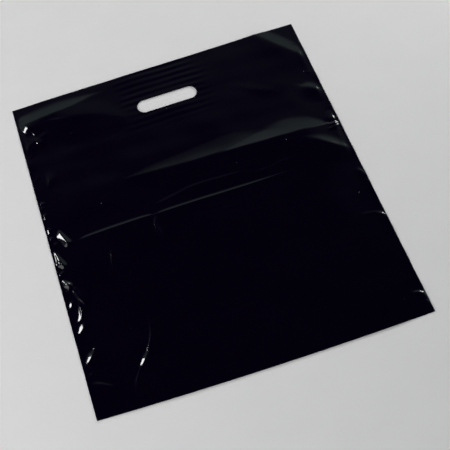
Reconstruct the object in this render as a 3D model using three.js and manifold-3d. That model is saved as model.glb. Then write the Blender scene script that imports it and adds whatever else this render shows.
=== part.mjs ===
// A plastic carrier bag with a punched handle slot, lying flat and empty on its back panel.
// The bag is one ribbon of film: front panel, bottom gusset and back panel run on into each other,
// and a welded strip along each side closes it. The mouth is open. A patch glued inside each panel
// strengthens the handle, and the slot is punched through both panels and both patches.
// Millimetres, +Z up. The origin is the middle of the outline, on the table; +Y points to the mouth.

import * as THREE from "three";
import { mergeVertices } from "three/addons/utils/BufferGeometryUtils.js";
import Module from "manifold-3d";

// Bag
const BAG_WIDTH = 406; // across both side welds
const BAG_HEIGHT = 457; // bottom fold to mouth
const FILM = 0.06; // thickness of the film
const GUSSET_DEPTH = 50; // from the bottom fold up to the gusset's inner fold
const WELD_WIDTH = 1.2; // fused strip along each side
const WELD_BEAD = 0.05; // how far the strip stands above the plies that it fuses

// Handle
const SLOT_LENGTH = 84;
const SLOT_WIDTH = 21;
const SLOT_DROP = 59; // mouth edge to the middle of the slot
const PATCH_WIDTH = 122;
const PATCH_FILM = 0.1; // thickness of a patch
const PATCH_CORNER = 4; // radius of a patch's corners
const GLUE_LINES = 10; // lines of glue on a patch
const GLUE_PITCH = 9.6;
const GLUE_WIDTH = 2.4;
const GLUE_HEIGHT = 0.12;
const GLUE_INSET = 3; // from a patch's side to the end of its glue lines

// How the empty bag lies: heights of the front panel above the table, and the flats and slopes between
const BODY_RISE = 3; // over the middle of the bag
const FOLD_RISE = 1.8; // over the bottom fold
const PATCH_SPACE = 0.4; // between the two patches
const BOND_GAP = 0.02; // between a glue line and the film that it holds
const PLY_GAP = 0.05; // between the plies where they run into a weld
const FLAT_MARGIN = 24; // flat film around a patch
const HANDLE_SLOPE = 70; // length of the rise from the handle to the middle
const FOLD_SLOPE = 95; // length of the fall from the middle to the bottom fold
const STACK_SLOPE = 12; // length in which four welded plies become two, above the gusset

// Fineness of the mesh
const SIDE_STEPS = 9;
const SLOPE_STEPS = 7;
const TURN_STEPS = 4;
const SLOT_STEPS = 12;
const CORNER_STEPS = 4;
const GLUE_STEPS = 6;

// Sizes that follow
const MOUTH_Y = BAG_HEIGHT / 2;
const FOLD_Y = -BAG_HEIGHT / 2;
const GUSSET_Y = FOLD_Y + GUSSET_DEPTH;
const WELD_X = BAG_WIDTH / 2 - WELD_WIDTH;
const SLOT_Y = MOUTH_Y - SLOT_DROP;
const PATCH_HEIGHT = GLUE_LINES * GLUE_PITCH;
const PATCH_STACK = PATCH_FILM + GLUE_HEIGHT + BOND_GAP;
const HANDLE_RISE = 2 * (FILM + PATCH_STACK) + PATCH_SPACE;
const FLAT_X = PATCH_WIDTH / 2 + FLAT_MARGIN;
const FLAT_Y = SLOT_Y - PATCH_HEIGHT / 2 - FLAT_MARGIN;
const BOTTOM_PLIES = 4;
const [BACK_PANEL, BACK_LEAF, FRONT_LEAF, FRONT_PANEL] = [0, 1, 2, 3];

const wasm = await Module();
wasm.setup();
const { smoothstep, lerp } = THREE.MathUtils;

// A closed geometry as a solid that can be joined and cut.
function solidOf(geometry) {
  const bare = geometry.clone();
  bare.deleteAttribute("normal");
  bare.deleteAttribute("uv");
  const merged = mergeVertices(bare);
  return new wasm.Manifold(
    new wasm.Mesh({
      numProp: 3,
      vertProperties: merged.attributes.position.array,
      triVerts: new Uint32Array(merged.index.array),
    }),
  );
}

// A solid's surface as a geometry.
function geometryOf(solid) {
  const { vertProperties, triVerts } = solid.getMesh();
  const geometry = new THREE.BufferGeometry();
  geometry.setAttribute("position", new THREE.BufferAttribute(vertProperties, 3));
  geometry.setIndex(new THREE.BufferAttribute(triVerts, 1));
  geometry.computeVertexNormals();
  return geometry;
}

// Evenly spaced numbers from one value to another, both included.
function spaced(from, to, steps) {
  return Array.from({ length: steps + 1 }, (_, i) => lerp(from, to, i / steps));
}

// Height of the plies in a side weld: four beside the gusset, two above it.
function weldedStack(y) {
  const extraPlies = 2 * (1 - smoothstep(y, GUSSET_Y, GUSSET_Y + STACK_SLOPE));
  return 2 * FILM + PLY_GAP + extraPlies * (FILM + PLY_GAP);
}

// Height of the front panel's outer face: flat over the handle, highest over the middle of the bag,
// and down to the welded plies at the sides.
function panelTop(x, y) {
  const fromFold = lerp(FOLD_RISE, BODY_RISE, smoothstep(y, FOLD_Y, FOLD_Y + FOLD_SLOPE));
  const middle = lerp(fromFold, HANDLE_RISE, smoothstep(y, FLAT_Y - HANDLE_SLOPE, FLAT_Y));
  return lerp(middle, weldedStack(y), smoothstep(Math.abs(x), FLAT_X, WELD_X));
}

// Space between neighbouring plies, where four of them share the height of the bag.
function plySpace(x, y) {
  return (panelTop(x, y) - BOTTOM_PLIES * FILM) / (BOTTOM_PLIES - 1);
}

// A point on the lower or upper face of a ply.
function plyPoint(x, y, ply, upper) {
  if (ply === FRONT_PANEL) return new THREE.Vector2(y, panelTop(x, y) - (upper ? 0 : FILM));
  return new THREE.Vector2(y, ply * (FILM + plySpace(x, y)) + (upper ? FILM : 0));
}

// The round turn, from top to bottom, in which the film runs from one ply into the next one down.
// Its tip is at tipY, and bulge says whether the tip points to the mouth (1) or to the fold (-1).
function turnPoints(x, tipY, lowerPly, bulge, outside) {
  const space = plySpace(x, tipY);
  const middleY = tipY - bulge * (space / 2 + FILM);
  const middleZ = lowerPly * (FILM + space) + FILM + space / 2;
  const radius = space / 2 + (outside ? FILM : 0);
  return spaced(Math.PI / 2, -Math.PI / 2, TURN_STEPS).map(
    (angle) =>
      new THREE.Vector2(
        middleY + bulge * radius * Math.cos(angle),
        middleZ + radius * Math.sin(angle),
      ),
  );
}

// The film's outline, cut across at x: along its outer face from the mouth to the mouth, and back inside.
function filmSection(x) {
  const handleY = spaced(FLAT_Y, FLAT_Y - HANDLE_SLOPE, SLOPE_STEPS);
  const foldY = spaced(FOLD_Y + FOLD_SLOPE, FOLD_Y + FILM + plySpace(x, FOLD_Y), SLOPE_STEPS);
  const stackY = [GUSSET_Y + STACK_SLOPE, GUSSET_Y + STACK_SLOPE / 2, GUSSET_Y];
  const panelY = [MOUTH_Y, ...handleY, ...foldY, ...stackY].sort((a, b) => b - a);
  const leafY = (FOLD_Y + GUSSET_Y) / 2;
  const frontFold = (outside) => turnPoints(x, FOLD_Y, FRONT_LEAF, -1, outside);
  const backFold = (outside) => turnPoints(x, FOLD_Y, BACK_PANEL, -1, outside);
  const innerFold = (outside) => turnPoints(x, GUSSET_Y, BACK_LEAF, 1, outside);
  return [
    ...panelY.map((y) => plyPoint(x, y, FRONT_PANEL, true)),
    ...frontFold(true),
    plyPoint(x, leafY, FRONT_LEAF, false),
    ...innerFold(false),
    plyPoint(x, leafY, BACK_LEAF, true),
    ...backFold(true),
    plyPoint(x, MOUTH_Y, BACK_PANEL, false),
    plyPoint(x, MOUTH_Y, BACK_PANEL, true),
    ...backFold(false).reverse(),
    plyPoint(x, leafY, BACK_LEAF, false),
    ...innerFold(true).reverse(),
    plyPoint(x, leafY, FRONT_LEAF, true),
    ...frontFold(false).reverse(),
    ...panelY.reverse().map((y) => plyPoint(x, y, FRONT_PANEL, false)),
  ];
}

// A solid through sections that all have as many points, one at each x, with flat ends.
function loftAcross(stations, section) {
  const rings = stations.map(section);
  const count = rings[0].length;
  const last = rings.length - 1;
  const positions = rings.flatMap((ring, i) => ring.flatMap((p) => [stations[i], p.x, p.y]));
  const index = [];
  for (let i = 0; i < last; i++) {
    for (let j = 0; j < count; j++) {
      const [a, b] = [i * count + j, i * count + ((j + 1) % count)];
      index.push(a, b, b + count, a, b + count, a + count);
    }
  }
  for (const [a, b, c] of THREE.ShapeUtils.triangulateShape(rings[0], [])) index.push(c, b, a);
  for (const face of THREE.ShapeUtils.triangulateShape(rings[last], [])) {
    index.push(...face.map((k) => last * count + k));
  }
  const geometry = new THREE.BufferGeometry();
  geometry.setAttribute("position", new THREE.Float32BufferAttribute(positions, 3));
  geometry.setIndex(index);
  return geometry;
}

// A bar along X of a given length, from x = 0, whose section is a closed line of points in Y and Z.
function barAcross(section, length) {
  const bar = new THREE.ExtrudeGeometry(new THREE.Shape(section), {
    depth: length,
    bevelEnabled: false,
  });
  const [x, y, z] = [0, 1, 2].map((k) => new THREE.Vector3().setComponent(k, 1));
  return bar.applyMatrix4(new THREE.Matrix4().makeBasis(y, z, x));
}

// The fused strip along one side (-1 or 1), a film's thickness short of the mouth and the fold.
function weldStrip(side) {
  const topAt = (y) => weldedStack(y) + WELD_BEAD;
  const [low, high] = [FOLD_Y + FILM, MOUTH_Y - FILM];
  const section = [
    new THREE.Vector2(low, 0),
    new THREE.Vector2(high, 0),
    new THREE.Vector2(high, topAt(high)),
    new THREE.Vector2(GUSSET_Y + STACK_SLOPE, topAt(high)),
    new THREE.Vector2(GUSSET_Y, topAt(low)),
    new THREE.Vector2(low, topAt(low)),
  ];
  const strip = barAcross(section, WELD_WIDTH);
  return solidOf(strip.translate(side > 0 ? WELD_X : -WELD_X - WELD_WIDTH, 0, 0));
}

// The handle's punch: a bar with round ends that passes through both panels and both patches.
function punchedSlot() {
  const radius = SLOT_WIDTH / 2;
  const reach = SLOT_LENGTH / 2 - radius;
  const outline = new THREE.Shape();
  outline.absarc(reach, 0, radius, -Math.PI / 2, Math.PI / 2, false);
  outline.absarc(-reach, 0, radius, Math.PI / 2, (3 * Math.PI) / 2, false);
  const depth = 2 * (BODY_RISE + HANDLE_RISE);
  const bar = new THREE.ExtrudeGeometry(outline, {
    depth,
    bevelEnabled: false,
    curveSegments: SLOT_STEPS,
  });
  return solidOf(bar.translate(0, SLOT_Y, -depth / 2));
}

// The film: the folded ribbon from weld to weld, the two welds, and the slot through both panels.
function bagFilm() {
  const end = WELD_X + WELD_WIDTH / 2;
  const slope = spaced(FLAT_X, WELD_X, SIDE_STEPS);
  const right = [...slope, end];
  const stations = [...right.map((x) => -x).reverse(), ...right];
  const ribbon = solidOf(loftAcross(stations, filmSection));
  return ribbon
    .add(weldStrip(-1))
    .add(weldStrip(1))
    .subtract(punchedSlot());
}

// A rectangle with round corners, about the origin.
function roundedRectangle(width, height, radius) {
  const [x, y] = [width / 2 - radius, height / 2 - radius];
  const quarter = Math.PI / 2;
  const outline = new THREE.Shape();
  outline.absarc(x, y, radius, 0, quarter, false);
  outline.absarc(-x, y, radius, quarter, 2 * quarter, false);
  outline.absarc(-x, -y, radius, 2 * quarter, 3 * quarter, false);
  outline.absarc(x, -y, radius, 3 * quarter, 4 * quarter, false);
  return outline;
}

// A line of glue along X with a low round back, standing on z = 0 and rooted half way into its sheet.
function glueLine(y) {
  const back = new THREE.EllipseCurve(0, 0, GLUE_WIDTH / 2, GLUE_HEIGHT, 0, Math.PI);
  const root = [-1, 1].map((side) => new THREE.Vector2((side * GLUE_WIDTH) / 2, -PATCH_FILM / 2));
  const length = PATCH_WIDTH - 2 * GLUE_INSET;
  const line = barAcross([...back.getPoints(GLUE_STEPS), ...root], length);
  return solidOf(line.translate(-length / 2, y, 0));
}

// A handle patch: a sheet with lines of glue on the face that meets the film, and the slot through it.
// The front patch's glue faces up to the front panel, and the back patch's down to the back panel.
function handlePatch(front) {
  const sheet = new THREE.ExtrudeGeometry(roundedRectangle(PATCH_WIDTH, PATCH_HEIGHT, PATCH_CORNER), {
    depth: PATCH_FILM,
    bevelEnabled: false,
    curveSegments: CORNER_STEPS,
  });
  let patch = solidOf(sheet.translate(0, 0, -PATCH_FILM));
  for (let k = 0; k < GLUE_LINES; k++) {
    patch = patch.add(glueLine((k + 0.5) * GLUE_PITCH - PATCH_HEIGHT / 2));
  }
  const fromFilm = FILM + BOND_GAP + GLUE_HEIGHT;
  const placed = front
    ? patch.translate([0, SLOT_Y, HANDLE_RISE - fromFilm])
    : patch.rotate([180, 0, 0]).translate([0, SLOT_Y, fromFilm]);
  return placed.subtract(punchedSlot());
}

const blackFilm = new THREE.MeshStandardMaterial({ color: 0x08070c, roughness: 0.22, metalness: 0 });
const patchFilm = new THREE.MeshStandardMaterial({ color: 0x0b0b0e, roughness: 0.35, metalness: 0 });

// A named piece of the bag.
function piece(name, solid, material) {
  const mesh = new THREE.Mesh(geometryOf(solid), material);
  mesh.name = name;
  return mesh;
}

const bag = new THREE.Group();
bag.add(
  piece("bag_film", bagFilm(), blackFilm),
  piece("front_handle_patch", handlePatch(true), patchFilm),
  piece("back_handle_patch", handlePatch(false), patchFilm),
);

export default bag;
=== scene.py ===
"""Looks of an empty black plastic carrier bag that lies flat on a pale table.

The film is made as the real one is: one flat web gets its hand slots, is folded into front panel, bottom
gusset and back panel, and is welded along both sides, with a glued patch inside each panel round the slot.
Creases, puckers and glue ripples then shape it where it lies. Blender units are metres, in the frame of the
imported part: +Z is up and +Y points to the mouth. Places on the bag are in millimetres from the middle of its
outline, and MM turns them into metres.
"""

import logging
import math
from dataclasses import dataclass
from enum import Enum

import bmesh
import bpy
import numpy as np
from mathutils import Matrix, Vector


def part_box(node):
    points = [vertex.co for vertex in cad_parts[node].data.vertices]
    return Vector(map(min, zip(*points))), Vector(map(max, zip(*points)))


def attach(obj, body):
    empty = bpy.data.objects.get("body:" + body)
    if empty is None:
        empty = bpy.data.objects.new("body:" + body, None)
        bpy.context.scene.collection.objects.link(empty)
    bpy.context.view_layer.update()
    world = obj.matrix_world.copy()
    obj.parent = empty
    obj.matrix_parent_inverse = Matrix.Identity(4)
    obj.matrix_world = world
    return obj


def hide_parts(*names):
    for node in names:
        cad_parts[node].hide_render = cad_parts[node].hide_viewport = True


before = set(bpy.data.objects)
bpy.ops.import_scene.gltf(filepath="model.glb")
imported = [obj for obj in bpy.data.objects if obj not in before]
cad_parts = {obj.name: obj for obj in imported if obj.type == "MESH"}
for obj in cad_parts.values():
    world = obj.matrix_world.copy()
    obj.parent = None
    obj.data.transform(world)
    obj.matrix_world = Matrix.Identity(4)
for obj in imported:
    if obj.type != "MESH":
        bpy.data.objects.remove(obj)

LOG = logging.getLogger("carrier_bag")
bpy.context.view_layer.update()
MM = 0.001
IMAGE_SIDE = 450

CUT_TOLERANCE = 1e-4
TINY = 1e-6

Numbers = np.ndarray
Triple = tuple[float, float, float]
Colour = Triple
CrestPoint = Triple
Socket = bpy.types.NodeSocket
Tree = bpy.types.NodeTree


def box_sizes(node: str) -> Triple:
    """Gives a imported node's extents in millimetres.

    Args:
        node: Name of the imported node.

    Returns:
        Its extents along X, Y and Z.
    """
    low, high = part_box(node)
    return tuple((high - low) / MM)


BAG_WIDTH, BAG_HEIGHT, _ = box_sizes("bag_film")
PATCH_WIDTH, PATCH_HEIGHT, _ = box_sizes("front_handle_patch")
HALF_WIDTH = BAG_WIDTH / 2
HALF_HEIGHT = BAG_HEIGHT / 2
FILM = 0.06
GUSSET = 50.0
SLOT_LENGTH = 84.0
SLOT_WIDTH = 21.0
SLOT_DROP = 59.0
SLOT_Y = HALF_HEIGHT - SLOT_DROP
GLUE_PITCH = 9.6


def smooth(value: Numbers, low: float, high: float) -> Numbers:
    """Eases from 0 at low to 1 at high.

    Args:
        value: Numbers to ease.
        low: Value at which the ease starts.
        high: Value at which it ends.

    Returns:
        Numbers from 0 to 1.
    """
    share = np.clip((value - low) / (high - low), 0.0, 1.0)
    return share * share * (3.0 - 2.0 * share)


def graded(start: float, runs: list[tuple[float, float]]) -> Numbers:
    """Spaces grid lines closely where the film is busy and widely where it is plain.

    Args:
        start: Place of the first line.
        runs: End of each run and the spacing wanted in it.

    Returns:
        Places of all lines, in order.
    """
    lines = [start]
    for end, spacing in runs:
        count = max(1, round(abs(end - lines[-1]) / spacing))
        lines.extend(np.linspace(lines[-1], end, count + 1)[1:])
    return np.array(lines)


class Side(Enum):
    """A side weld, by the sign of its X."""

    LEFT = -1
    RIGHT = 1


class Panel(Enum):
    """A panel of the bag."""

    FRONT = "front"
    BACK = "back"


@dataclass(frozen=True)
class Crease:
    """A raised line in the film, with a flank on either hand as its crest is walked.

    Attributes:
        crest: Points of the crest as (x, y, height), from first to last.
        left: Steepness of the flank on the left hand, in degrees.
        right: Steepness of the flank on the right hand, in degrees.
        foot: How the flanks run out: 1 is a flat facet, and more is a softer foot.
        crown: How far out the crest is rounded.
    """

    crest: tuple[CrestPoint, ...]
    left: float
    right: float
    foot: float = 1.5
    crown: float = 0.0

    def path(self) -> Numbers:
        """Runs a smooth curve through the points of the crest.

        Returns:
            Rows of x, y and height along the curve.
        """
        steps = 5
        points = np.array(self.crest, dtype=float)
        bends = np.gradient(points, axis=0)
        spans = len(points) - 1
        place = np.linspace(0.0, spans, steps * spans + 1)
        first = np.minimum(place.astype(int), spans - 1)
        t = (place - first)[:, None]
        start = (1.0 + 2.0 * t) * points[first] + t * bends[first]
        end = (3.0 - 2.0 * t) * points[first + 1] - (1.0 - t) * bends[first + 1]
        curve = (1.0 - t) ** 2 * start + t**2 * end
        curve[:, 2] = np.maximum(curve[:, 2], 0.0)
        return curve

    def height(self, x: Numbers, y: Numbers) -> Numbers:
        """Gives the crease's height at points of the bag.

        Args:
            x: Places across the bag.
            y: Places from fold to mouth.

        Returns:
            Heights in millimetres.
        """
        curve = self.path()
        right, left = np.tan(np.radians((self.right, self.left)))
        reach = self.foot * curve[:, 2].max() / min(right, left) + 2.0 * self.crown
        low, high = curve[:, :2].min(axis=0) - reach, curve[:, :2].max(axis=0) + reach
        near = (x > low[0]) & (x < high[0]) & (y > low[1]) & (y < high[1])
        near_x, near_y = x[near], y[near]
        best = np.zeros_like(near_x)
        for (from_x, from_y, from_z), (to_x, to_y, to_z) in zip(curve, curve[1:]):
            run_x, run_y = to_x - from_x, to_y - from_y
            along = (near_x - from_x) * run_x + (near_y - from_y) * run_y
            along = np.clip(along / (run_x**2 + run_y**2), 0.0, 1.0)
            off_x = near_x - from_x - along * run_x
            off_y = near_y - from_y - along * run_y
            steepness = np.where(run_x * off_y > run_y * off_x, left, right)
            drop = steepness * (np.sqrt(off_x**2 + off_y**2 + self.crown**2) - self.crown)
            top = from_z + along * (to_z - from_z)
            share = np.clip(1.0 - drop / (self.foot * np.maximum(top, TINY)), 0.0, None)
            best = np.maximum(best, top * share**self.foot)
        total = np.zeros_like(x)
        total[near] = best
        return total


@dataclass(frozen=True)
class Facet:
    """A flat three-cornered face of film, pushed up at its corners, with sloping film round it.

    Attributes:
        corners: Its corners as (x, y, height), anticlockwise from above.
        skirt: Steepness of the film round it, in degrees.
    """

    corners: tuple[CrestPoint, CrestPoint, CrestPoint]
    skirt: float

    def height(self, x: Numbers, y: Numbers) -> Numbers:
        """Gives the facet's height at points of the bag.

        Args:
            x: Places across the bag.
            y: Places from fold to mouth.

        Returns:
            Heights in millimetres.
        """
        corners = np.array(self.corners, dtype=float)
        fall = math.tan(math.radians(self.skirt))
        inside = np.ones_like(x, dtype=bool)
        around = np.zeros_like(x)
        for start, end in zip(corners, np.roll(corners, -1, axis=0)):
            run = end - start
            off_x, off_y = x - start[0], y - start[1]
            inside &= run[0] * off_y >= run[1] * off_x
            along = np.clip((run[0] * off_x + run[1] * off_y) / (run[0] ** 2 + run[1] ** 2), 0.0, 1.0)
            gap = np.hypot(off_x - along * run[0], off_y - along * run[1])
            around = np.maximum(around, start[2] + along * run[2] - fall * gap)
        plane = np.linalg.solve(np.column_stack((corners[:, :2], np.ones(3))), corners[:, 2])
        return np.where(inside, plane[0] * x + plane[1] * y + plane[2], around)


def edge_dot(x: float, y: float) -> Crease:
    """Makes a small nub of film beside the left weld.

    Args:
        x: Its place across the bag.
        y: Its place from fold to mouth.

    Returns:
        The nub as a short crease.
    """
    inset, bulge, half, tall = 1.2, 1.3, 2.8, 0.7
    crest = ((x + inset, y - half, 0.0), (x + bulge, y, tall), (x + inset, y + half, 0.0))
    return Crease(crest, left=16.0, right=13.0)


def stray_puckers(side: Side, seed: int, count: int, height: float) -> list[Crease]:
    """Scatters faint short creases along a weld, where it has drawn the film together.

    Args:
        side: The weld.
        seed: Seed of the scatter.
        count: How many there are.
        height: Height of the tallest.

    Returns:
        The creases, from fold to mouth.
    """
    scatter, top_share = 5.0, 0.45
    rng = np.random.default_rng(seed)
    made = []
    for y in np.linspace(-HALF_HEIGHT, HALF_HEIGHT, count) + rng.normal(0.0, scatter, count):
        inset, run, tall = rng.uniform(1.5, 5.0), rng.uniform(5.0, 13.0), height * rng.uniform(0.3, 1.0)
        turn = rng.uniform(-1.0, 1.0)
        ends = [(inset + share * run, y + share * run * math.tan(turn)) for share in (0.0, top_share, 1.0)]
        crest = tuple(
            (side.value * (HALF_WIDTH - place), across, tall * up)
            for (place, across), up in zip(ends, (0.0, 1.0, 0.0))
        )
        made.append(Crease(crest, left=rng.uniform(7.0, 11.0), right=rng.uniform(6.0, 10.0)))
    return made


@dataclass(frozen=True)
class RestingShape:
    """How the film lies: where each point of the flat bag comes to rest on the table.

    Attributes:
        air: Height of the air left between the panels over the middle.
        handle_air: The same over the handle, where the patches lie between the panels.
        fold_air: The same at the bottom fold.
        edge_space: Space between the panels at the welds.
        bow: How far the bottom fold bows out between its corners.
        ripple: Height of the ripples over the glue lines.
        ripple_creep: How far the ripples lie from their glue lines, towards the fold.
        wave: Height of the slow waves all over the film.
        table_gap: Space between the back panel and the table.
        corners: Shift of each corner, keyed by the signs of its X and Y.
        folds: Creases all over the front panel, those across the bag walked from left to right.
        left_puckers: Creases along the left weld, walked towards the mouth.
        right_puckers: Creases along the right weld, walked towards the fold or the weld.
    """

    air: float = 1.9
    handle_air: float = 1.25
    fold_air: float = 1.2
    edge_space: float = 0.16
    bow: float = 3.2
    ripple: float = 0.11
    ripple_creep: float = 3.5
    wave: float = 0.1
    table_gap: float = 0.02
    corners: tuple[tuple[tuple[int, int], tuple[float, float]], ...] = (
        ((-1, 1), (0.5, -3.6)),
        ((1, 1), (-2.6, 2.7)),
        ((1, -1), (0.4, -4.1)),
        ((-1, -1), (0.4, 2.7)),
    )
    folds: tuple[Crease, ...] = (
        # Wide storage fold across the upper half, softer towards the left
        Crease(
            (
                (45, 61.5, 0.0), (75, 60.5, 0.9), (98, 59.3, 1.8), (125, 58.2, 3.0), (150, 57.3, 2.8),
                (170, 56.5, 1.7), (189, 56, 0.1),
            ),
            left=8.8,
            right=2.5,
            foot=1.3,
        ),
        Crease(
            (
                (-90, 69, 0.0), (-45, 65.5, 1.0), (0, 63.0, 1.6), (35, 62.3, 2.0), (65, 61.3, 2.2),
                (95, 59.5, 1.6), (120, 58.7, 0.7), (135, 58, 0.0),
            ),
            left=6.6,
            right=2.5,
            foot=1.3,
        ),
        # Fold that branches off it at the right weld
        Crease(((150, 46, 0.0), (165, 36, 1.1), (180, 24.5, 1.5), (195, 15, 0.6), (204, 10, 0.1)), 9.5, 4.0),
        # Sharp fold line through the middle
        Crease(
            (
                (-168, 3, 0.0), (-150, 3.5, 0.8), (-85, 5, 0.75), (-66, 4.5, 0.2), (-53, 4.5, 0.75),
                (0, 4.5, 0.8), (60, 4, 0.85), (100, 4.5, 0.4), (120, 4.5, 0.0),
            ),
            left=16.0,
            right=9.0,
        ),
        # Wavering line above it
        Crease(
            (
                (-60, 15.5, 0.0), (-53, 18.5, 0.5), (-25, 24, 0.5), (-5, 27, 0.5), (27, 26, 0.45),
                (51, 24.5, 0.5), (75, 17.5, 0.5), (95, 19, 0.4), (117, 22.5, 0.35), (128, 24.5, 0.0),
            ),
            left=12.5,
            right=7.0,
        ),
        # Short lines below it
        Crease(((8, -17, 0.0), (22, -17.5, 0.32), (38, -17, 0.0)), 11.0, 7.0),
        Crease(
            ((-68, -40, 0.0), (-68, -30, 0.8), (-70.3, -12, 0.9), (-68, -3, 0.6), (-64, 9, 0.0)),
            left=17.5,
            right=10.0,
        ),
        Crease(((-138, -68, 0.0), (-136.5, -52, 0.4), (-133, -32, 0.7), (-132, -20, 0.0)), 20.0, 9.0),
        # Bowed wrinkle in the lower left, and the softer fold that it runs out into
        Crease(
            (
                (-144, -189, 0.0), (-138.5, -182, 0.95), (-131, -174.5, 1.85), (-125.5, -165.5, 1.1),
                (-117, -148, 0.8), (-113.5, -129, 0.6), (-112, -108, 0.0),
            ),
            left=21.0,
            right=6.0,
        ),
        Crease(
            ((-148, -221, 0.0), (-149, -207, 1.0), (-147, -197, 1.1), (-143.5, -190, 0.4), (-141, -186, 0.0)),
            left=13.6,
            right=6.0,
            foot=1.2,
        ),
        # Wave along the mouth on the left, running down towards the slot
        Crease(
            ((-204, 198.5, 1.5), (-165, 201, 1.8), (-135, 204, 1.6), (-112, 208, 1.0), (-84, 214, 0.0)),
            left=8.5,
            right=2.5,
            crown=2.0,
        ),
        Crease(
            ((-150, 190, 0.0), (-125, 187, 1.2), (-100, 181, 1.2), (-80, 173, 0.8), (-60, 163, 0.0)),
            left=4.3,
            right=2.5,
            crown=3.0,
        ),
        # Fainter arc below it
        Crease(
            ((-204, 152, 0.4), (-197, 160, 0.7), (-187, 167, 0.7), (-175, 172, 0.35), (-163, 175, 0.0)),
            left=5.5,
            right=4.0,
            crown=1.5,
        ),
        # Turned corner at the mouth on the right
        Crease(((143, 232, 1.2), (160, 212, 1.6), (175, 195, 1.6), (204, 164, 0.9)), 8.5, 2.5, crown=3.0),
        # Folds down the right side
        Crease(((174, 126, 0.0), (188, 117, 1.4), (204, 105, 0.7)), 10.0, 5.0),
        Crease(((168, -82, 0.0), (182, -84, 0.3), (203, -87, 0.2)), 10.0, 6.0),
        # Faint crease from the slot to the right
        Crease(
            ((82, 165, 0.0), (95, 157, 0.28), (115, 144, 0.36), (135, 131, 0.32), (146, 122, 0.0)),
            left=7.0,
            right=4.0,
        ),
        # Inner fold of the gusset, showing through
        Crease(((-204, -179, 0.14), (204, -179, 0.14)), 8.0, 0.5),
    )
    left_puckers: tuple[Crease | Facet, ...] = (
        # Beside the bottom corner
        Crease(((-203, -228, 0.0), (-199.5, -227, 0.6), (-196.5, -222, 0.0)), 13.3, 8.0, 1.25),
        Crease(((-203, -224, 0.0), (-201.2, -219, 0.5), (-201, -214, 0.0)), 13.3, 8.0, 1.25),
        Crease(((-199, -176, 0.0), (-194, -172.5, 0.6), (-188, -171, 0.0)), 13.0, 8.0, 1.25),
        Crease(((-200, -182, 0.0), (-190, -188, 1.2), (-178, -194, 1.0), (-167, -197, 0.0)), 16.0, 7.0, 1.15),
        # Crescent, smile and hook
        Crease(((-202, -164, 0.0), (-194, -158, 1.4), (-188.5, -151, 1.5), (-185.5, -143, 0.0)), 16.0, 8.0),
        Crease(((-199, -121, 0.0), (-193, -117.5, 1.2), (-189, -111.5, 1.2), (-187, -105, 0.0)), 16.0, 11.0),
        Crease(
            (
                (-202, -102, 0.0), (-195, -105, 0.5), (-189.5, -101.5, 1.0), (-186.5, -93, 1.15),
                (-187.5, -84, 0.7), (-191, -77, 0.0),
            ),
            left=16.0,
            right=11.0,
        ),
        Crease(((-200.5, -88, 0.0), (-196, -81, 0.9), (-195, -73, 0.0)), 16.0, 9.0),
        # Soft fold that runs up from the hook
        Crease(((-176, -99, 0.0), (-181, -82, 1.3), (-187.5, -66, 1.0), (-191, -57, 0.0)), 17.0, 8.0, 1.25),
        # Arcs and squiggle below the middle
        Crease(((-190, -62, 0.0), (-193.5, -59.5, 1.0), (-198, -55, 0.0)), 16.0, 9.0),
        Facet(((-200, -41, 0.0), (-197, -52, 1.19), (-192.5, -54, 2.14)), 24.0),
        Crease(((-202, -39, 0.0), (-198.5, -36.5, 0.8), (-195, -34, 0.5), (-192, -31, 0.0)), 16.0, 9.0),
        Facet(((-200, 3, 0.0), (-197, -24, 1.38), (-192.5, -25.5, 2.28)), 24.0),
        Crease(((-201.5, -24, 0.0), (-199.8, -20.5, 0.5), (-199, -17, 0.0)), 16.0, 8.0),
        # Bright triangle above it
        Facet(((-191.5, 16.5, 0.0), (-180.5, 3.5, 2.3), (-186.5, 22.5, 0.95)), 20.0),
        *(edge_dot(-200, y) for y in (16, 25, 30, 47, 52, 64, 70)),
        # Near the mouth
        Crease(((-186, 94, 0.0), (-180.5, 101, 0.6), (-183.5, 110, 0.0)), 10.0, 4.0),
        Crease(((-178, 157, 0.0), (-180.5, 162, 0.9), (-183.5, 166, 0.0)), 15.0, 7.0, 1.25),
        Crease(((-185.5, 183, 0.0), (-188, 189, 1.6), (-191, 195, 1.5), (-194.5, 201, 0.0)), 15.3, 6.0, 1.25),
        *stray_puckers(Side.LEFT, 7, 34, 0.3),
    )
    right_puckers: tuple[Crease, ...] = (
        Crease(((199, 67, 0.0), (196.5, 61, 1.3), (198.5, 54, 0.0)), 18.0, 7.0, 1.3),
        Crease(((188, 51, 0.0), (195, 53, 0.7), (203, 54.5, 0.4)), 24.0, 14.0),
        Crease(((182, 46, 0.0), (190, 48, 0.8), (197, 49.3, 0.8), (203, 50, 0.3)), 24.0, 14.0),
        Crease(((197, -19, 0.0), (199, -26, 0.9), (201.5, -33, 0.6), (203, -37, 0.0)), 16.0, 8.0, 1.3),
        Crease(((199, -37, 0.0), (201, -41, 0.7), (203, -46, 0.0)), 17.0, 8.0, 1.3),
        Crease(((194, -86, 0.0), (198.5, -90.5, 1.2), (203, -94.5, 0.5)), 23.0, 10.0),
        Crease(((190, -197, 0.0), (195.5, -200.7, 1.6), (200.5, -204, 1.6), (204, -206, 0.8)), 26.0, 10.0),
        Crease(((194, -210, 0.0), (199, -213.5, 1.2), (204, -216.5, 0.6)), 26.0, 10.0),
        *stray_puckers(Side.RIGHT, 11, 30, 0.22),
    )

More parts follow.
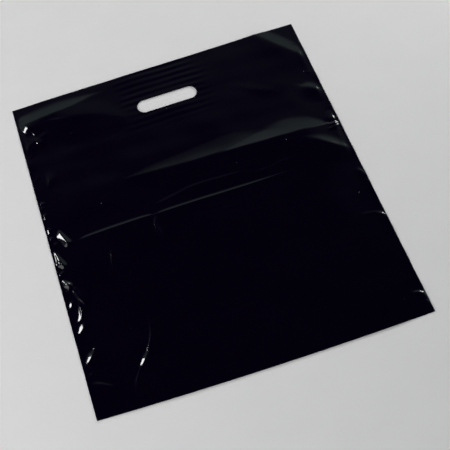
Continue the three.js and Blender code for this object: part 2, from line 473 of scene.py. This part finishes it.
    def waves(self, x: Numbers, y: Numbers) -> Numbers:
        """Gives the slow waves that keep large areas of film from lying dead flat.

        Args:
            x: Places across the bag.
            y: Places from fold to mouth.

        Returns:
            Heights in millimetres.
        """
        rng = np.random.default_rng(3)
        lengths = (95.0, 70.0, 52.0, 40.0, 31.0)
        total = np.zeros_like(x)
        for length in lengths:
            turn, phase = rng.uniform(0.0, 2.0 * math.pi, 2)
            along = x * math.cos(turn) + y * math.sin(turn)
            total += length / lengths[0] * np.sin(2.0 * math.pi * along / length + phase)
        return self.wave * total

    def ripples(self, x: Numbers, y: Numbers) -> Numbers:
        """Gives the ripples that the glue lines of a patch leave in its panel.

        Args:
            x: Places across the bag.
            y: Places from fold to mouth.

        Returns:
            Heights in millimetres.
        """
        past_patch, ragged = 2.0, 4.0
        first, full = SLOT_Y - 44.0, SLOT_Y - 28.0
        faintest, strongest = SLOT_Y - 40.0, SLOT_Y + 30.0
        end = PATCH_WIDTH / 2 + past_patch + ragged * np.sin(y / 6.3 + 2.0 * np.sign(x))
        over = smooth(end - np.abs(x), -6.0, 22.0) * smooth(y, first, full)
        strength = 0.5 + 0.5 * smooth(y, faintest, strongest)
        uneven = 0.8 + 0.2 * np.sin(x / 17.0 + y / 11.0)
        over *= strength * uneven
        drift = 0.7 * np.sin(x / 26.0 + y / 37.0) + 0.35 * np.sin(x / 11.0 - y / 19.0)
        along = y - SLOT_Y + self.ripple_creep + drift
        return -self.ripple * over * np.cos(2.0 * math.pi * along / GLUE_PITCH)

    def back(self, x: Numbers, y: Numbers) -> Numbers:
        """Gives the height of the back panel's outer face.

        Args:
            x: Places across the bag.
            y: Places from fold to mouth.

        Returns:
            Heights in millimetres.
        """
        least, swing, reach = 0.14, 0.25, 7.0
        inset = HALF_WIDTH - np.abs(x)
        curl = least + swing * (1.0 + np.sin(y / 9.0 + 1.5 * np.sin(y / 23.0)))
        return self.table_gap + curl * np.exp(-inset / reach)

    def front(self, x: Numbers, y: Numbers) -> Numbers:
        """Gives the height of the front panel's outer face.

        Args:
            x: Places across the bag.
            y: Places from fold to mouth.

        Returns:
            Heights in millimetres.
        """
        handle_end, middle_start, bottom_start = 125.0, 40.0, -130.0
        fold_ease, pucker_ease = 10.0, 2.5
        inset = HALF_WIDTH - np.abs(x)
        middle = smooth(-y, -handle_end, -middle_start)
        bottom = smooth(-y, -bottom_start, HALF_HEIGHT)
        air = self.handle_air + (self.air - self.handle_air) * middle + (self.fold_air - self.air) * bottom
        lift = smooth(inset, -6.0, 52.0) * (air + self.waves(x, y)) + self.ripples(x, y)
        for ease, creases in (
            (fold_ease, self.folds), (pucker_ease, self.left_puckers), (pucker_ease, self.right_puckers)
        ):
            lift = lift + smooth(inset, 0.0, ease) * sum(crease.height(x, y) for crease in creases)
        return self.back(x, y) + 2.0 * FILM + self.edge_space + np.maximum(lift, 0.0)

    def outline(self, x: Numbers, y: Numbers) -> tuple[Numbers, Numbers]:
        """Draws the bag's outline to the shape that it has on the table.

        Args:
            x: Places across the bag.
            y: Places from fold to mouth.

        Returns:
            Places on the table.
        """
        moved_x, moved_y = x.copy(), y.copy()
        for (sign_x, sign_y), (shift_x, shift_y) in self.corners:
            share = (0.5 + sign_x * x / BAG_WIDTH) * (0.5 + sign_y * y / BAG_HEIGHT)
            moved_x += share * shift_x
            moved_y += share * shift_y
        low = smooth(-y, 0.0, HALF_HEIGHT)
        return moved_x, moved_y - self.bow * low * (1.0 - (x / HALF_WIDTH) ** 2)


def finished_piece(name: str, bm: bmesh.types.BMesh, material: bpy.types.Material) -> bpy.types.Object:
    """Turns a bmesh into a smooth piece at the origin, with its place in its mesh and its rims sharp.

    Args:
        name: Name of the piece.
        bm: Its mesh, which is freed.
        material: Its finish.

    Returns:
        The new object, linked to the scene.
    """
    for face in bm.faces:
        face.smooth = True
    for edge in bm.edges:
        edge.smooth = not edge.is_boundary
    mesh = bpy.data.meshes.new(name)
    bm.to_mesh(mesh)
    bm.free()
    mesh.materials.append(material)
    piece = bpy.data.objects.new(name, mesh)
    bpy.context.scene.collection.objects.link(piece)
    return piece


def thicken(piece: bpy.types.Object, thickness: float) -> None:
    """Gives a sheet its thickness, inwards from its outer face.

    Args:
        piece: The sheet.
        thickness: In millimetres.
    """
    solidify = piece.modifiers.new("film_thickness", "SOLIDIFY")
    solidify.thickness = thickness * MM
    solidify.offset = -1.0


def grid_web(columns: Numbers, rows: Numbers) -> bmesh.types.BMesh:
    """Makes a flat sheet with grid lines at given places, in millimetres.

    Args:
        columns: Places of the lines across X, from low to high.
        rows: Places of the lines across Y, from low to high.

    Returns:
        The flat sheet.
    """
    bm = bmesh.new()
    spans = (len(columns) - 1, len(rows) - 1)
    bmesh.ops.create_grid(bm, x_segments=spans[0], y_segments=spans[1], size=0.5)
    for vert in bm.verts:
        column = round((vert.co.x + 0.5) * spans[0])
        row = round((vert.co.y + 0.5) * spans[1])
        vert.co = (columns[column], rows[row], 0.0)
    return bm


def move_verts(bm: bmesh.types.BMesh, places: Numbers) -> None:
    """Moves every vertex of a mesh.

    Args:
        bm: The mesh.
        places: New places in millimetres, in the order of the vertices.
    """
    for vert, place in zip(bm.verts, places * MM):
        vert.co = place


def punch_slot(bm: bmesh.types.BMesh, centre_y: float) -> None:
    """Cuts a slot with round ends out of a flat sheet.

    Args:
        bm: The flat sheet, in millimetres.
        centre_y: Where the slot's middle lies on it.
    """
    facets, margin = 14, 1.0
    radius = SLOT_WIDTH / 2
    reach = SLOT_LENGTH / 2 - radius
    inside = [
        face
        for face in bm.faces
        if min(abs(v.co.y - centre_y) for v in face.verts) < radius + margin
        and min(abs(v.co.x) for v in face.verts) < reach + radius + margin
    ]
    for k in range(2 * facets):
        angle = math.pi * (k / facets - 0.5)
        normal = Vector((math.cos(angle), math.sin(angle), 0.0))
        end = reach if k < facets else -reach
        point = Vector((end, centre_y, 0.0)) + radius * normal
        parts = {item for face in inside for item in (face, *face.edges, *face.verts)}
        cut = bmesh.ops.bisect_plane(
            bm, geom=list(parts), dist=CUT_TOLERANCE, plane_co=point, plane_no=normal
        )
        inside = [
            item
            for item in cut["geom"]
            if isinstance(item, bmesh.types.BMFace)
            and (item.calc_center_median() - point).dot(normal) < 0.0
        ]
    bmesh.ops.delete(bm, geom=inside, context="FACES")


@dataclass
class FilmBag:
    """The bag's film: one folded web with welded sides and a hand slot through both panels.

    Attributes:
        shape: How the film lies.
        turn: Length of film in which a fold turns over.
    """

    shape: RestingShape
    turn: float = 1.5

    def columns(self) -> Numbers:
        """Gives the grid lines across the web, close together near the welds."""
        left = [(-180, 1.1), (-165, 1.7), (-157, 2.4), (-112, 1.5), (-75, 5.0), (-62, 0.9)]
        right = [(140, 7.5), (165, 4.0), (180, 2.5), (HALF_WIDTH, 1.65)]
        return graded(-HALF_WIDTH, [*left, *right])

    def rows(self) -> Numbers:
        """Gives the grid lines along the web, as lengths of film from the front panel's mouth."""
        fold = BAG_HEIGHT
        inner = fold + GUSSET
        back = inner + GUSSET
        front = [(185, 1.5), (128, 1.6), (92, 3.0), (56, 1.4), (14, 1.5), (-2, 1.0), (-120, 1.6)]
        return graded(
            0.0,
            [
                *((HALF_HEIGHT - y, spacing) for y, spacing in front),
                (fold - self.turn, 1.8), (fold, 0.3), (fold + self.turn, 0.3),
                (inner - self.turn, 12.0), (inner + self.turn, 0.4),
                (back - self.turn, 12.0), (back + self.turn, 0.4),
                (back + BAG_HEIGHT, 16.0),
            ],
        )

    def folded(self, x: Numbers, length: Numbers) -> Numbers:
        """Folds the flat web and lays it on the table.

        Args:
            x: Places across the web.
            length: Lengths of film from the front panel's mouth.

        Returns:
            Rows of places in the shared frame, in millimetres.
        """
        past_fold = length - BAG_HEIGHT
        past_inner = past_fold - GUSSET
        past_back = past_inner - GUSSET
        y = np.where(past_inner < 0.0, np.abs(past_fold), np.abs(past_back)) - HALF_HEIGHT
        front, back = self.shape.front(x, y), self.shape.back(x, y)
        layers = smooth(past_fold, 0.0, self.turn)
        layers = layers + smooth(past_inner, -self.turn, self.turn) + smooth(past_back, -self.turn, 0.0)
        z = back + (1.0 - layers / 3.0) * (front - back)
        return np.column_stack((*self.shape.outline(x, y), z))

    def build(self, material: bpy.types.Material) -> bpy.types.Object:
        """Makes the film.

        Args:
            material: Its finish.

        Returns:
            The film as one piece.
        """
        lengths = self.rows()
        bm = grid_web(self.columns(), -lengths[::-1])
        punch_slot(bm, -SLOT_DROP)
        punch_slot(bm, SLOT_DROP - lengths[-1])
        flat = np.array([vert.co for vert in bm.verts])
        move_verts(bm, self.folded(flat[:, 0], -flat[:, 1]))
        piece = finished_piece("carrier_bag_film", bm, material)
        thicken(piece, FILM)
        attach(piece, "root")
        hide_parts("bag_film")
        return piece


@dataclass
class SideWeld:
    """The fused bead where a hot blade has cut and welded one side of the bag.

    Attributes:
        shape: How the film lies.
        side: Which side it is.
        width: Half the bead's width.
        cover: How far the bead stands above and below the film.
        spacing: Length of bead between its rings.
        sides: Faces round the bead.
    """

    shape: RestingShape
    side: Side
    width: float = 0.42
    cover: float = 0.03
    spacing: float = 1.6
    sides: int = 10

    def build(self, material: bpy.types.Material) -> bpy.types.Object:
        """Makes the bead.

        Args:
            material: Its finish.

        Returns:
            The bead as one piece.
        """
        turns = np.linspace(0.0, 2.0 * math.pi, self.sides + 1)
        bm = grid_web(turns, graded(-HALF_HEIGHT, [(HALF_HEIGHT, self.spacing)]))
        flat = np.array([vert.co for vert in bm.verts])
        turn, y = flat[:, 0], flat[:, 1]
        x = np.full_like(y, self.side.value * HALF_WIDTH)
        front, back = self.shape.front(x, y), self.shape.back(x, y)
        unevenness = 0.14
        swell = 1.0 + unevenness * np.sin(y / 1.9) * np.sin(y / 7.3)
        edge_x, edge_y = self.shape.outline(x, y)
        z = (front + back) / 2 + ((front - back) / 2 + self.cover) * np.sin(turn)
        move_verts(bm, np.column_stack((edge_x + self.width * swell * np.cos(turn), edge_y, z)))
        bmesh.ops.remove_doubles(bm, verts=bm.verts, dist=TINY)
        bmesh.ops.holes_fill(bm, edges=[edge for edge in bm.edges if edge.is_boundary])
        bmesh.ops.recalc_face_normals(bm, faces=bm.faces)
        piece = finished_piece(f"{self.side.name.lower()}_side_weld", bm, material)
        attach(piece, "root")
        return piece


@dataclass
class HandlePatch:
    """A patch of heavier film, glued inside a panel round the hand slot.

    Attributes:
        shape: How the film lies.
        panel: The panel that it is glued to.
        film: Its thickness.
        glue: Height of its glue lines.
        glue_width: Width of its glue lines.
        bond: Space between a glue line and the panel.
        corner: Radius of its corners.
    """

    shape: RestingShape
    panel: Panel
    film: float = 0.1
    glue: float = 0.12
    glue_width: float = 2.4
    bond: float = 0.02
    corner: float = 4.0

    def round_corners(self, bm: bmesh.types.BMesh) -> None:
        """Trims the flat patch's corners round.

        Args:
            bm: The flat patch, in millimetres.
        """
        facets = 4
        for k in range(4 * facets):
            angle = math.pi / 2 * (k + 0.5) / facets
            normal = Vector((math.cos(angle), math.sin(angle), 0.0))
            centre = Vector((
                math.copysign(PATCH_WIDTH / 2 - self.corner, normal.x),
                SLOT_Y + math.copysign(PATCH_HEIGHT / 2 - self.corner, normal.y),
                0.0,
            ))
            bmesh.ops.bisect_plane(
                bm,
                geom=[*bm.verts, *bm.edges, *bm.faces],
                dist=CUT_TOLERANCE,
                plane_co=centre + self.corner * normal,
                plane_no=normal,
                clear_outer=True,
            )

    def glued(self, x: Numbers, y: Numbers) -> Numbers:
        """Lays the patch against its panel, touching it along the glue lines.

        Args:
            x: Places across the bag.
            y: Places from fold to mouth.

        Returns:
            Rows of places in the shared frame, in millimetres.
        """
        flat_share = 0.25
        from_line = np.abs((y - SLOT_Y) % GLUE_PITCH - GLUE_PITCH / 2)
        rise = smooth(from_line, flat_share * self.glue_width, self.glue_width)
        off = FILM + self.bond + self.glue * rise
        z = self.shape.front(x, y) - off if self.panel is Panel.FRONT else self.shape.back(x, y) + off
        return np.column_stack((*self.shape.outline(x, y), z))

    def build(self, material: bpy.types.Material) -> bpy.types.Object:
        """Makes the patch.

        Args:
            material: Its finish.

        Returns:
            The patch as one piece.
        """
        column_spacing, row_spacing = 4.0, 0.8
        half = np.array((PATCH_WIDTH, PATCH_HEIGHT)) / 2
        columns = graded(-half[0], [(half[0], column_spacing)])
        rows = SLOT_Y + graded(-half[1], [(half[1], row_spacing)])
        bm = grid_web(columns, rows)
        self.round_corners(bm)
        punch_slot(bm, SLOT_Y)
        area = sum(face.calc_area() for face in bm.faces) * MM**2
        flat = np.array([vert.co for vert in bm.verts])
        move_verts(bm, self.glued(flat[:, 0], flat[:, 1]))
        if self.panel is Panel.BACK:
            bmesh.ops.reverse_faces(bm, faces=bm.faces)
        name = f"{self.panel.value}_handle_patch"
        piece = finished_piece(f"{self.panel.value}_patch_film", bm, material)
        thicken(piece, self.film)
        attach(piece, "root")
        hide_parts(name)
        return piece


class Effect(Enum):
    """Node groups that several finishes share."""

    GRAIN = "film_grain"
    DUST = "dust_specks"


def new_group(
    effect: Effect, outputs: tuple[str, ...]
) -> tuple[Tree, bpy.types.Node, bpy.types.Node]:
    """Starts a shader node group that reads a place and puts out numbers.

    Args:
        effect: The effect that it makes.
        outputs: Names of its outputs.

    Returns:
        The group, its input node and its output node.
    """
    group = bpy.data.node_groups.new(effect.value, "ShaderNodeTree")
    group.interface.new_socket("Vector", in_out="INPUT", socket_type="NodeSocketVector")
    for name in outputs:
        group.interface.new_socket(name, in_out="OUTPUT", socket_type="NodeSocketFloat")
    return group, group.nodes.new("NodeGroupInput"), group.nodes.new("NodeGroupOutput")


def noise(tree: Tree, place: Socket, scale: Triple, detail: float) -> Socket:
    """Adds noise that is stretched along the axes.

    Args:
        tree: Tree to add it to.
        place: Socket that gives the place.
        scale: Cells of noise to the metre along X, Y and Z.
        detail: Octaves of finer noise.

    Returns:
        The socket that gives the noise, from 0 to 1.
    """
    mapping = tree.nodes.new("ShaderNodeMapping")
    mapping.inputs["Scale"].default_value = scale
    texture = tree.nodes.new("ShaderNodeTexNoise")
    texture.inputs["Scale"].default_value = 1.0
    texture.inputs["Detail"].default_value = detail
    tree.links.new(place, mapping.inputs["Vector"])
    tree.links.new(mapping.outputs["Vector"], texture.inputs["Vector"])
    return texture.outputs["Fac"]


def spread(
    tree: Tree,
    value: Socket,
    wanted: tuple[float, float, float, float],
) -> Socket:
    """Maps a number from one range to another.

    Args:
        tree: Tree to add the node to.
        value: Socket that gives the number.
        wanted: Low and high end of the range that it comes from, then of the range that it goes to.

    Returns:
        The socket that gives the mapped number.
    """
    node = tree.nodes.new("ShaderNodeMapRange")
    for name, number in zip(("From Min", "From Max", "To Min", "To Max"), wanted):
        node.inputs[name].default_value = number
    tree.links.new(value, node.inputs["Value"])
    return node.outputs["Result"]


def grain_group() -> Tree:
    """Builds the grain of blown film: cloudy haze, lines along its run and a fine pebble.

    Returns:
        The group, with the outputs Haze, Lines and Pebble.
    """
    group, place, out = new_group(Effect.GRAIN, ("Haze", "Lines", "Pebble"))
    vector = place.outputs["Vector"]
    clouds, streaks, grains = (16.0, 22.0, 22.0), (7.0, 420.0, 420.0), (850.0, 850.0, 850.0)
    contrast = (0.35, 0.68)
    haze = spread(group, noise(group, vector, clouds, detail=4.0), (*contrast, 0.0, 1.0))
    group.links.new(haze, out.inputs["Haze"])
    group.links.new(noise(group, vector, streaks, detail=3.0), out.inputs["Lines"])
    group.links.new(noise(group, vector, grains, detail=2.0), out.inputs["Pebble"])
    return group


def dust_group() -> Tree:
    """Builds sparse specks of dust, each about a millimetre across.

    Returns:
        The group, with the output Mask, which is 1 on a speck.
    """
    cells_per_metre, speck, kept = 16.0, (0.006, 0.012), (0.78, 0.95)
    group, place, out = new_group(Effect.DUST, ("Mask",))
    cells = group.nodes.new("ShaderNodeTexVoronoi")
    cells.voronoi_dimensions = "2D"
    cells.inputs["Scale"].default_value = cells_per_metre
    split = group.nodes.new("ShaderNodeSeparateColor")
    keep = group.nodes.new("ShaderNodeMath")
    keep.operation = "MULTIPLY"
    group.links.new(place.outputs["Vector"], cells.inputs["Vector"])
    group.links.new(cells.outputs["Color"], split.inputs["Color"])
    group.links.new(spread(group, cells.outputs["Distance"], (*speck, 1.0, 0.0)), keep.inputs[0])
    group.links.new(spread(group, split.outputs["Red"], (*kept, 0.0, 1.0)), keep.inputs[1])
    group.links.new(keep.outputs["Value"], out.inputs["Mask"])
    return group


class Surface:
    """A material under construction."""

    def __init__(self, name: str) -> None:
        """Starts a material with its shader and its Object coordinates.

        Args:
            name: Name of the material.
        """
        self.material = bpy.data.materials.new(name)
        self.material.use_nodes = True
        self.tree = self.material.node_tree
        self.shader = self.tree.nodes["Principled BSDF"]
        self.place = self.tree.nodes.new("ShaderNodeTexCoord").outputs["Object"]

    def effect(self, effect: Effect) -> bpy.types.NodeOutputs:
        """Places a shared node group in the material.

        Args:
            effect: The effect that it makes.

        Returns:
            Its outputs.
        """
        node = self.tree.nodes.new("ShaderNodeGroup")
        node.node_tree = bpy.data.node_groups[effect.value]
        self.tree.links.new(self.place, node.inputs["Vector"])
        return node.outputs

    def mixed(
        self, factor: Socket, low: Colour | Socket, high: Colour
    ) -> Socket:
        """Mixes two colours.

        Args:
            factor: Socket that gives the share of the second colour.
            low: First colour, or the socket that gives it.
            high: Second colour.

        Returns:
            The socket that gives the mixed colour.
        """
        node = self.tree.nodes.new("ShaderNodeMix")
        node.data_type = "RGBA"
        sockets = {socket.identifier: socket for socket in (*node.inputs, *node.outputs)}
        self.tree.links.new(factor, sockets["Factor_Float"])
        if isinstance(low, tuple):
            sockets["A_Color"].default_value = (*low, 1.0)
        else:
            self.tree.links.new(low, sockets["A_Color"])
        sockets["B_Color"].default_value = (*high, 1.0)
        return sockets["Result_Color"]

    def larger(self, first: Socket, second: Socket) -> Socket:
        """Gives the larger of two numbers.

        Args:
            first: Socket that gives one number.
            second: Socket that gives the other.

        Returns:
            The socket that gives the larger.
        """
        node = self.tree.nodes.new("ShaderNodeMath")
        node.operation = "MAXIMUM"
        self.tree.links.new(first, node.inputs[0])
        self.tree.links.new(second, node.inputs[1])
        return node.outputs["Value"]

    def bumped(self, heights: list[tuple[Socket, float]]) -> None:
        """Raises the surface finely, one bump on another.

        Args:
            heights: Sockets that give heights from 0 to 1, each with its full height in millimetres.
        """
        normal = None
        for height, distance in heights:
            node = self.tree.nodes.new("ShaderNodeBump")
            node.inputs["Distance"].default_value = distance * MM
            self.tree.links.new(height, node.inputs["Height"])
            if normal is not None:
                self.tree.links.new(normal, node.inputs["Normal"])
            normal = node.outputs["Normal"]
        self.tree.links.new(normal, self.shader.inputs["Normal"])


@dataclass(frozen=True)
class FilmFinish:
    """Glossy black polyethylene film with faint haze, lines from its blowing and a little dust.

    Attributes:
        name: Name of the material.
        clear: Colour where the film is clear.
        hazy: Colour where it is hazy.
        roughness: How blurred its reflections are where it is clear and where it is hazy.
        line: Height of the lines along its run.
        pebble: Height of its fine pebble.
        dust: Colour of the dust.
        dust_roughness: How blurred reflections are on the dust.
        refraction: Refractive index.
    """

    name: str
    clear: Colour
    hazy: Colour
    roughness: tuple[float, float]
    line: float = 0.01
    pebble: float = 0.003
    dust: Colour = (0.07, 0.07, 0.075)
    dust_roughness: float = 0.6
    refraction: float = 1.51

    def build(self) -> bpy.types.Material:
        """Builds the material."""
        surface = Surface(self.name)
        grain, dust = surface.effect(Effect.GRAIN), surface.effect(Effect.DUST)
        film = surface.mixed(grain["Haze"], self.clear, self.hazy)
        colour = surface.mixed(dust["Mask"], film, self.dust)
        gloss = spread(surface.tree, grain["Haze"], (0.0, 1.0, *self.roughness))
        matt_dust = spread(surface.tree, dust["Mask"], (0.0, 1.0, 0.0, self.dust_roughness))
        surface.tree.links.new(colour, surface.shader.inputs["Base Color"])
        surface.tree.links.new(surface.larger(gloss, matt_dust), surface.shader.inputs["Roughness"])
        surface.shader.inputs["IOR"].default_value = self.refraction
        surface.bumped([(grain["Lines"], self.line), (grain["Pebble"], self.pebble)])
        return surface.material


@dataclass(frozen=True)
class TableFinish:
    """Pale, slightly uneven table top.

    Attributes:
        light: Colour of its lighter parts.
        dark: Colour of its darker parts.
        roughness: How blurred its reflections are.
        surround: Brightness that the far table has for the camera, away from the lamps.
        reach: Distances from the bag between which that brightness comes in, in metres.
    """

    light: Colour = (0.83, 0.803, 0.808)
    dark: Colour = (0.815, 0.789, 0.795)
    roughness: float = 0.7
    surround: float = 0.42
    reach: tuple[float, float] = (0.8, 2.4)

    def build(self) -> bpy.types.Material:
        """Builds the material."""
        surface = Surface("pale_table")
        colour = surface.mixed(surface.effect(Effect.GRAIN)["Haze"], self.light, self.dark)
        surface.tree.links.new(colour, surface.shader.inputs["Base Color"])
        surface.shader.inputs["Roughness"].default_value = self.roughness
        self.lighten_far(surface)
        return surface.material

    def lighten_far(self, surface: Surface) -> None:
        """Keeps the far table pale for the camera, where the lamps hardly reach it.

        Args:
            surface: The table's material.
        """
        nodes, links = surface.tree.nodes, surface.tree.links
        length = nodes.new("ShaderNodeVectorMath")
        length.operation = "LENGTH"
        seen = nodes.new("ShaderNodeMath")
        seen.operation = "MULTIPLY"
        links.new(surface.place, length.inputs[0])
        pale = spread(surface.tree, length.outputs["Value"], (*self.reach, 0.0, self.surround))
        links.new(pale, seen.inputs[0])
        links.new(nodes.new("ShaderNodeLightPath").outputs["Is Camera Ray"], seen.inputs[1])
        links.new(seen.outputs["Value"], surface.shader.inputs["Emission Strength"])
        surface.shader.inputs["Emission Color"].default_value = (*self.light, 1.0)


@dataclass(frozen=True)
class Lamp:
    """A soft square lamp.

    Attributes:
        name: Name of the lamp.
        towards: Direction from the bag to the lamp.
        distance: Distance from the bag, in metres.
        side: Length of its side, in metres.
        radiance: Brightness of its face, where 1 is white.
    """

    name: str
    towards: Triple
    distance: float
    side: float
    radiance: float

    def build(self) -> None:
        """Adds the lamp, facing the bag."""
        data = bpy.data.lights.new(self.name, "AREA")
        data.shape = "SQUARE"
        data.size = self.side
        data.energy = self.radiance * math.pi * self.side**2
        lamp = bpy.data.objects.new(self.name, data)
        direction = Vector(self.towards).normalized()
        lamp.location = direction * self.distance
        lamp.rotation_euler = direction.to_track_quat("Z", "Y").to_euler()
        bpy.context.scene.collection.objects.link(lamp)


@dataclass(frozen=True)
class Camera:
    """The photograph's camera.

    Attributes:
        azimuth: Degrees round the bag from straight below its fold, to the right.
        elevation: Degrees above the table.
        roll: Degrees that the picture is turned.
        distance: Distance from the target, in millimetres.
        target: Point of the table in the middle of the picture, in millimetres.
        focal: Focal length in pixels of the picture.
    """

    azimuth: float = -13.28
    elevation: float = 61.52
    roll: float = -6.18
    distance: float = 1108.7
    target: tuple[float, float] = (10.9, -39.7)
    focal: float = 895.0

    def build(self) -> None:
        """Adds the camera and makes it the scene's."""
        azimuth, elevation, roll = map(math.radians, (self.azimuth, self.elevation, self.roll))
        back = Vector((
            math.sin(azimuth) * math.cos(elevation),
            -math.cos(azimuth) * math.cos(elevation),
            math.sin(elevation),
        ))
        right = Vector((0.0, 0.0, 1.0)).cross(back).normalized()
        turned = (Matrix.Rotation(roll, 3, back) @ right).normalized()
        data = bpy.data.cameras.new("camera")
        data.lens = data.sensor_width * self.focal / IMAGE_SIDE
        camera = bpy.data.objects.new("camera", data)
        axes = Matrix((turned, back.cross(turned), back)).transposed()
        place = (Vector((*self.target, 0.0)) + back * self.distance) * MM
        camera.matrix_world = Matrix.Translation(place) @ axes.to_4x4()
        bpy.context.scene.collection.objects.link(camera)
        bpy.context.scene.camera = camera


@dataclass(frozen=True)
class Studio:
    """Pale table, a room with pale walls and a dark ceiling, and soft lamps.

    Attributes:
        table: Finish of the table.
        backdrop: The room's colour for the camera.
        room: Its colour for all else at rising elevations in degrees, even beyond the first and last.
        lamps: The lamps.
    """

    table: TableFinish = TableFinish()
    backdrop: Colour = (0.62, 0.63, 0.63)
    room: tuple[tuple[float, Colour], ...] = (
        (20.0, (0.30, 0.31, 0.31)),
        (36.0, (0.235, 0.312, 0.29)),
        (40.0, (0.235, 0.312, 0.29)),
        (46.0, (0.082, 0.094, 0.108)),
        (53.5, (0.036, 0.038, 0.053)),
        (55.2, (0.013, 0.010, 0.022)),
        (60.0, (0.003, 0.001, 0.006)),
    )
    lamps: tuple[Lamp, ...] = (
        Lamp("window", (-0.52, 0.50, 0.69), 1.7, 0.25, 22.0),
        Lamp("left_fill", (-0.78, -0.34, 0.53), 1.6, 1.9, 1.9),
        Lamp("right_window", (0.69, 0.58, 0.42), 1.8, 0.5, 16.4),
        Lamp("back_window", (0.15, 0.93, 0.33), 1.9, 0.2, 8.0),
    )

    def build_table(self) -> None:
        """Adds the table as a wide floor just under the bag."""
        half, gap = 30.0, 0.05
        bm = bmesh.new()
        bmesh.ops.create_grid(bm, x_segments=1, y_segments=1, size=half)
        bmesh.ops.translate(bm, verts=bm.verts, vec=(0.0, 0.0, -gap * MM))
        finished_piece("table", bm, self.table.build())

    def build_room(self) -> None:
        """Sets the room's brightness by elevation."""
        world = bpy.data.worlds.new("room")
        world.use_nodes = True
        nodes, links = world.node_tree.nodes, world.node_tree.links
        place = nodes.new("ShaderNodeTexCoord")
        split = nodes.new("ShaderNodeSeparateXYZ")
        ramp = nodes.new("ShaderNodeValToRGB")
        stops = ramp.color_ramp.elements
        while len(stops) < len(self.room):
            stops.new(1.0)
        for stop, (elevation, brightness) in zip(stops, self.room):
            stop.position = math.sin(math.radians(elevation))
            stop.color = (*brightness, 1.0)
        links.new(place.outputs["Generated"], split.inputs["Vector"])
        links.new(split.outputs["Z"], ramp.inputs["Fac"])
        seen = nodes.new("ShaderNodeMixShader")
        backdrop = nodes.new("ShaderNodeBackground")
        backdrop.inputs["Color"].default_value = (*self.backdrop, 1.0)
        links.new(ramp.outputs["Color"], nodes["Background"].inputs["Color"])
        links.new(nodes.new("ShaderNodeLightPath").outputs["Is Camera Ray"], seen.inputs[0])
        links.new(nodes["Background"].outputs["Background"], seen.inputs[1])
        links.new(backdrop.outputs["Background"], seen.inputs[2])
        links.new(seen.outputs["Shader"], nodes["World Output"].inputs["Surface"])
        bpy.context.scene.world = world

    def build(self) -> None:
        """Adds the table, the room and the lamps."""
        bpy.context.scene.view_settings.view_transform = "Standard"
        self.build_table()
        self.build_room()
        for lamp in self.lamps:
            lamp.build()


def main() -> None:
    """Builds the bag, its finishes, the studio and the camera."""
    logging.basicConfig(level=logging.INFO, format="%(message)s")
    grain_group()
    dust_group()
    film = FilmFinish(
        "black_film",
        clear=(0.0011, 0.0003, 0.0040),
        hazy=(0.0015, 0.0006, 0.0046),
        roughness=(0.07, 0.10),
    ).build()
    heavy = FilmFinish(
        "black_patch_film",
        clear=(0.0016, 0.0014, 0.003),
        hazy=(0.0022, 0.002, 0.0038),
        roughness=(0.2, 0.28),
    ).build()
    shape = RestingShape()
    pieces = [FilmBag(shape).build(film)]
    pieces += [SideWeld(shape, side).build(film) for side in Side]
    pieces += [HandlePatch(shape, panel).build(heavy) for panel in Panel]
    for piece in pieces:
        LOG.info("%s: %d faces", piece.name, len(piece.data.polygons))
    Studio().build()
    Camera().build()


if __name__ == "__main__":
    main()
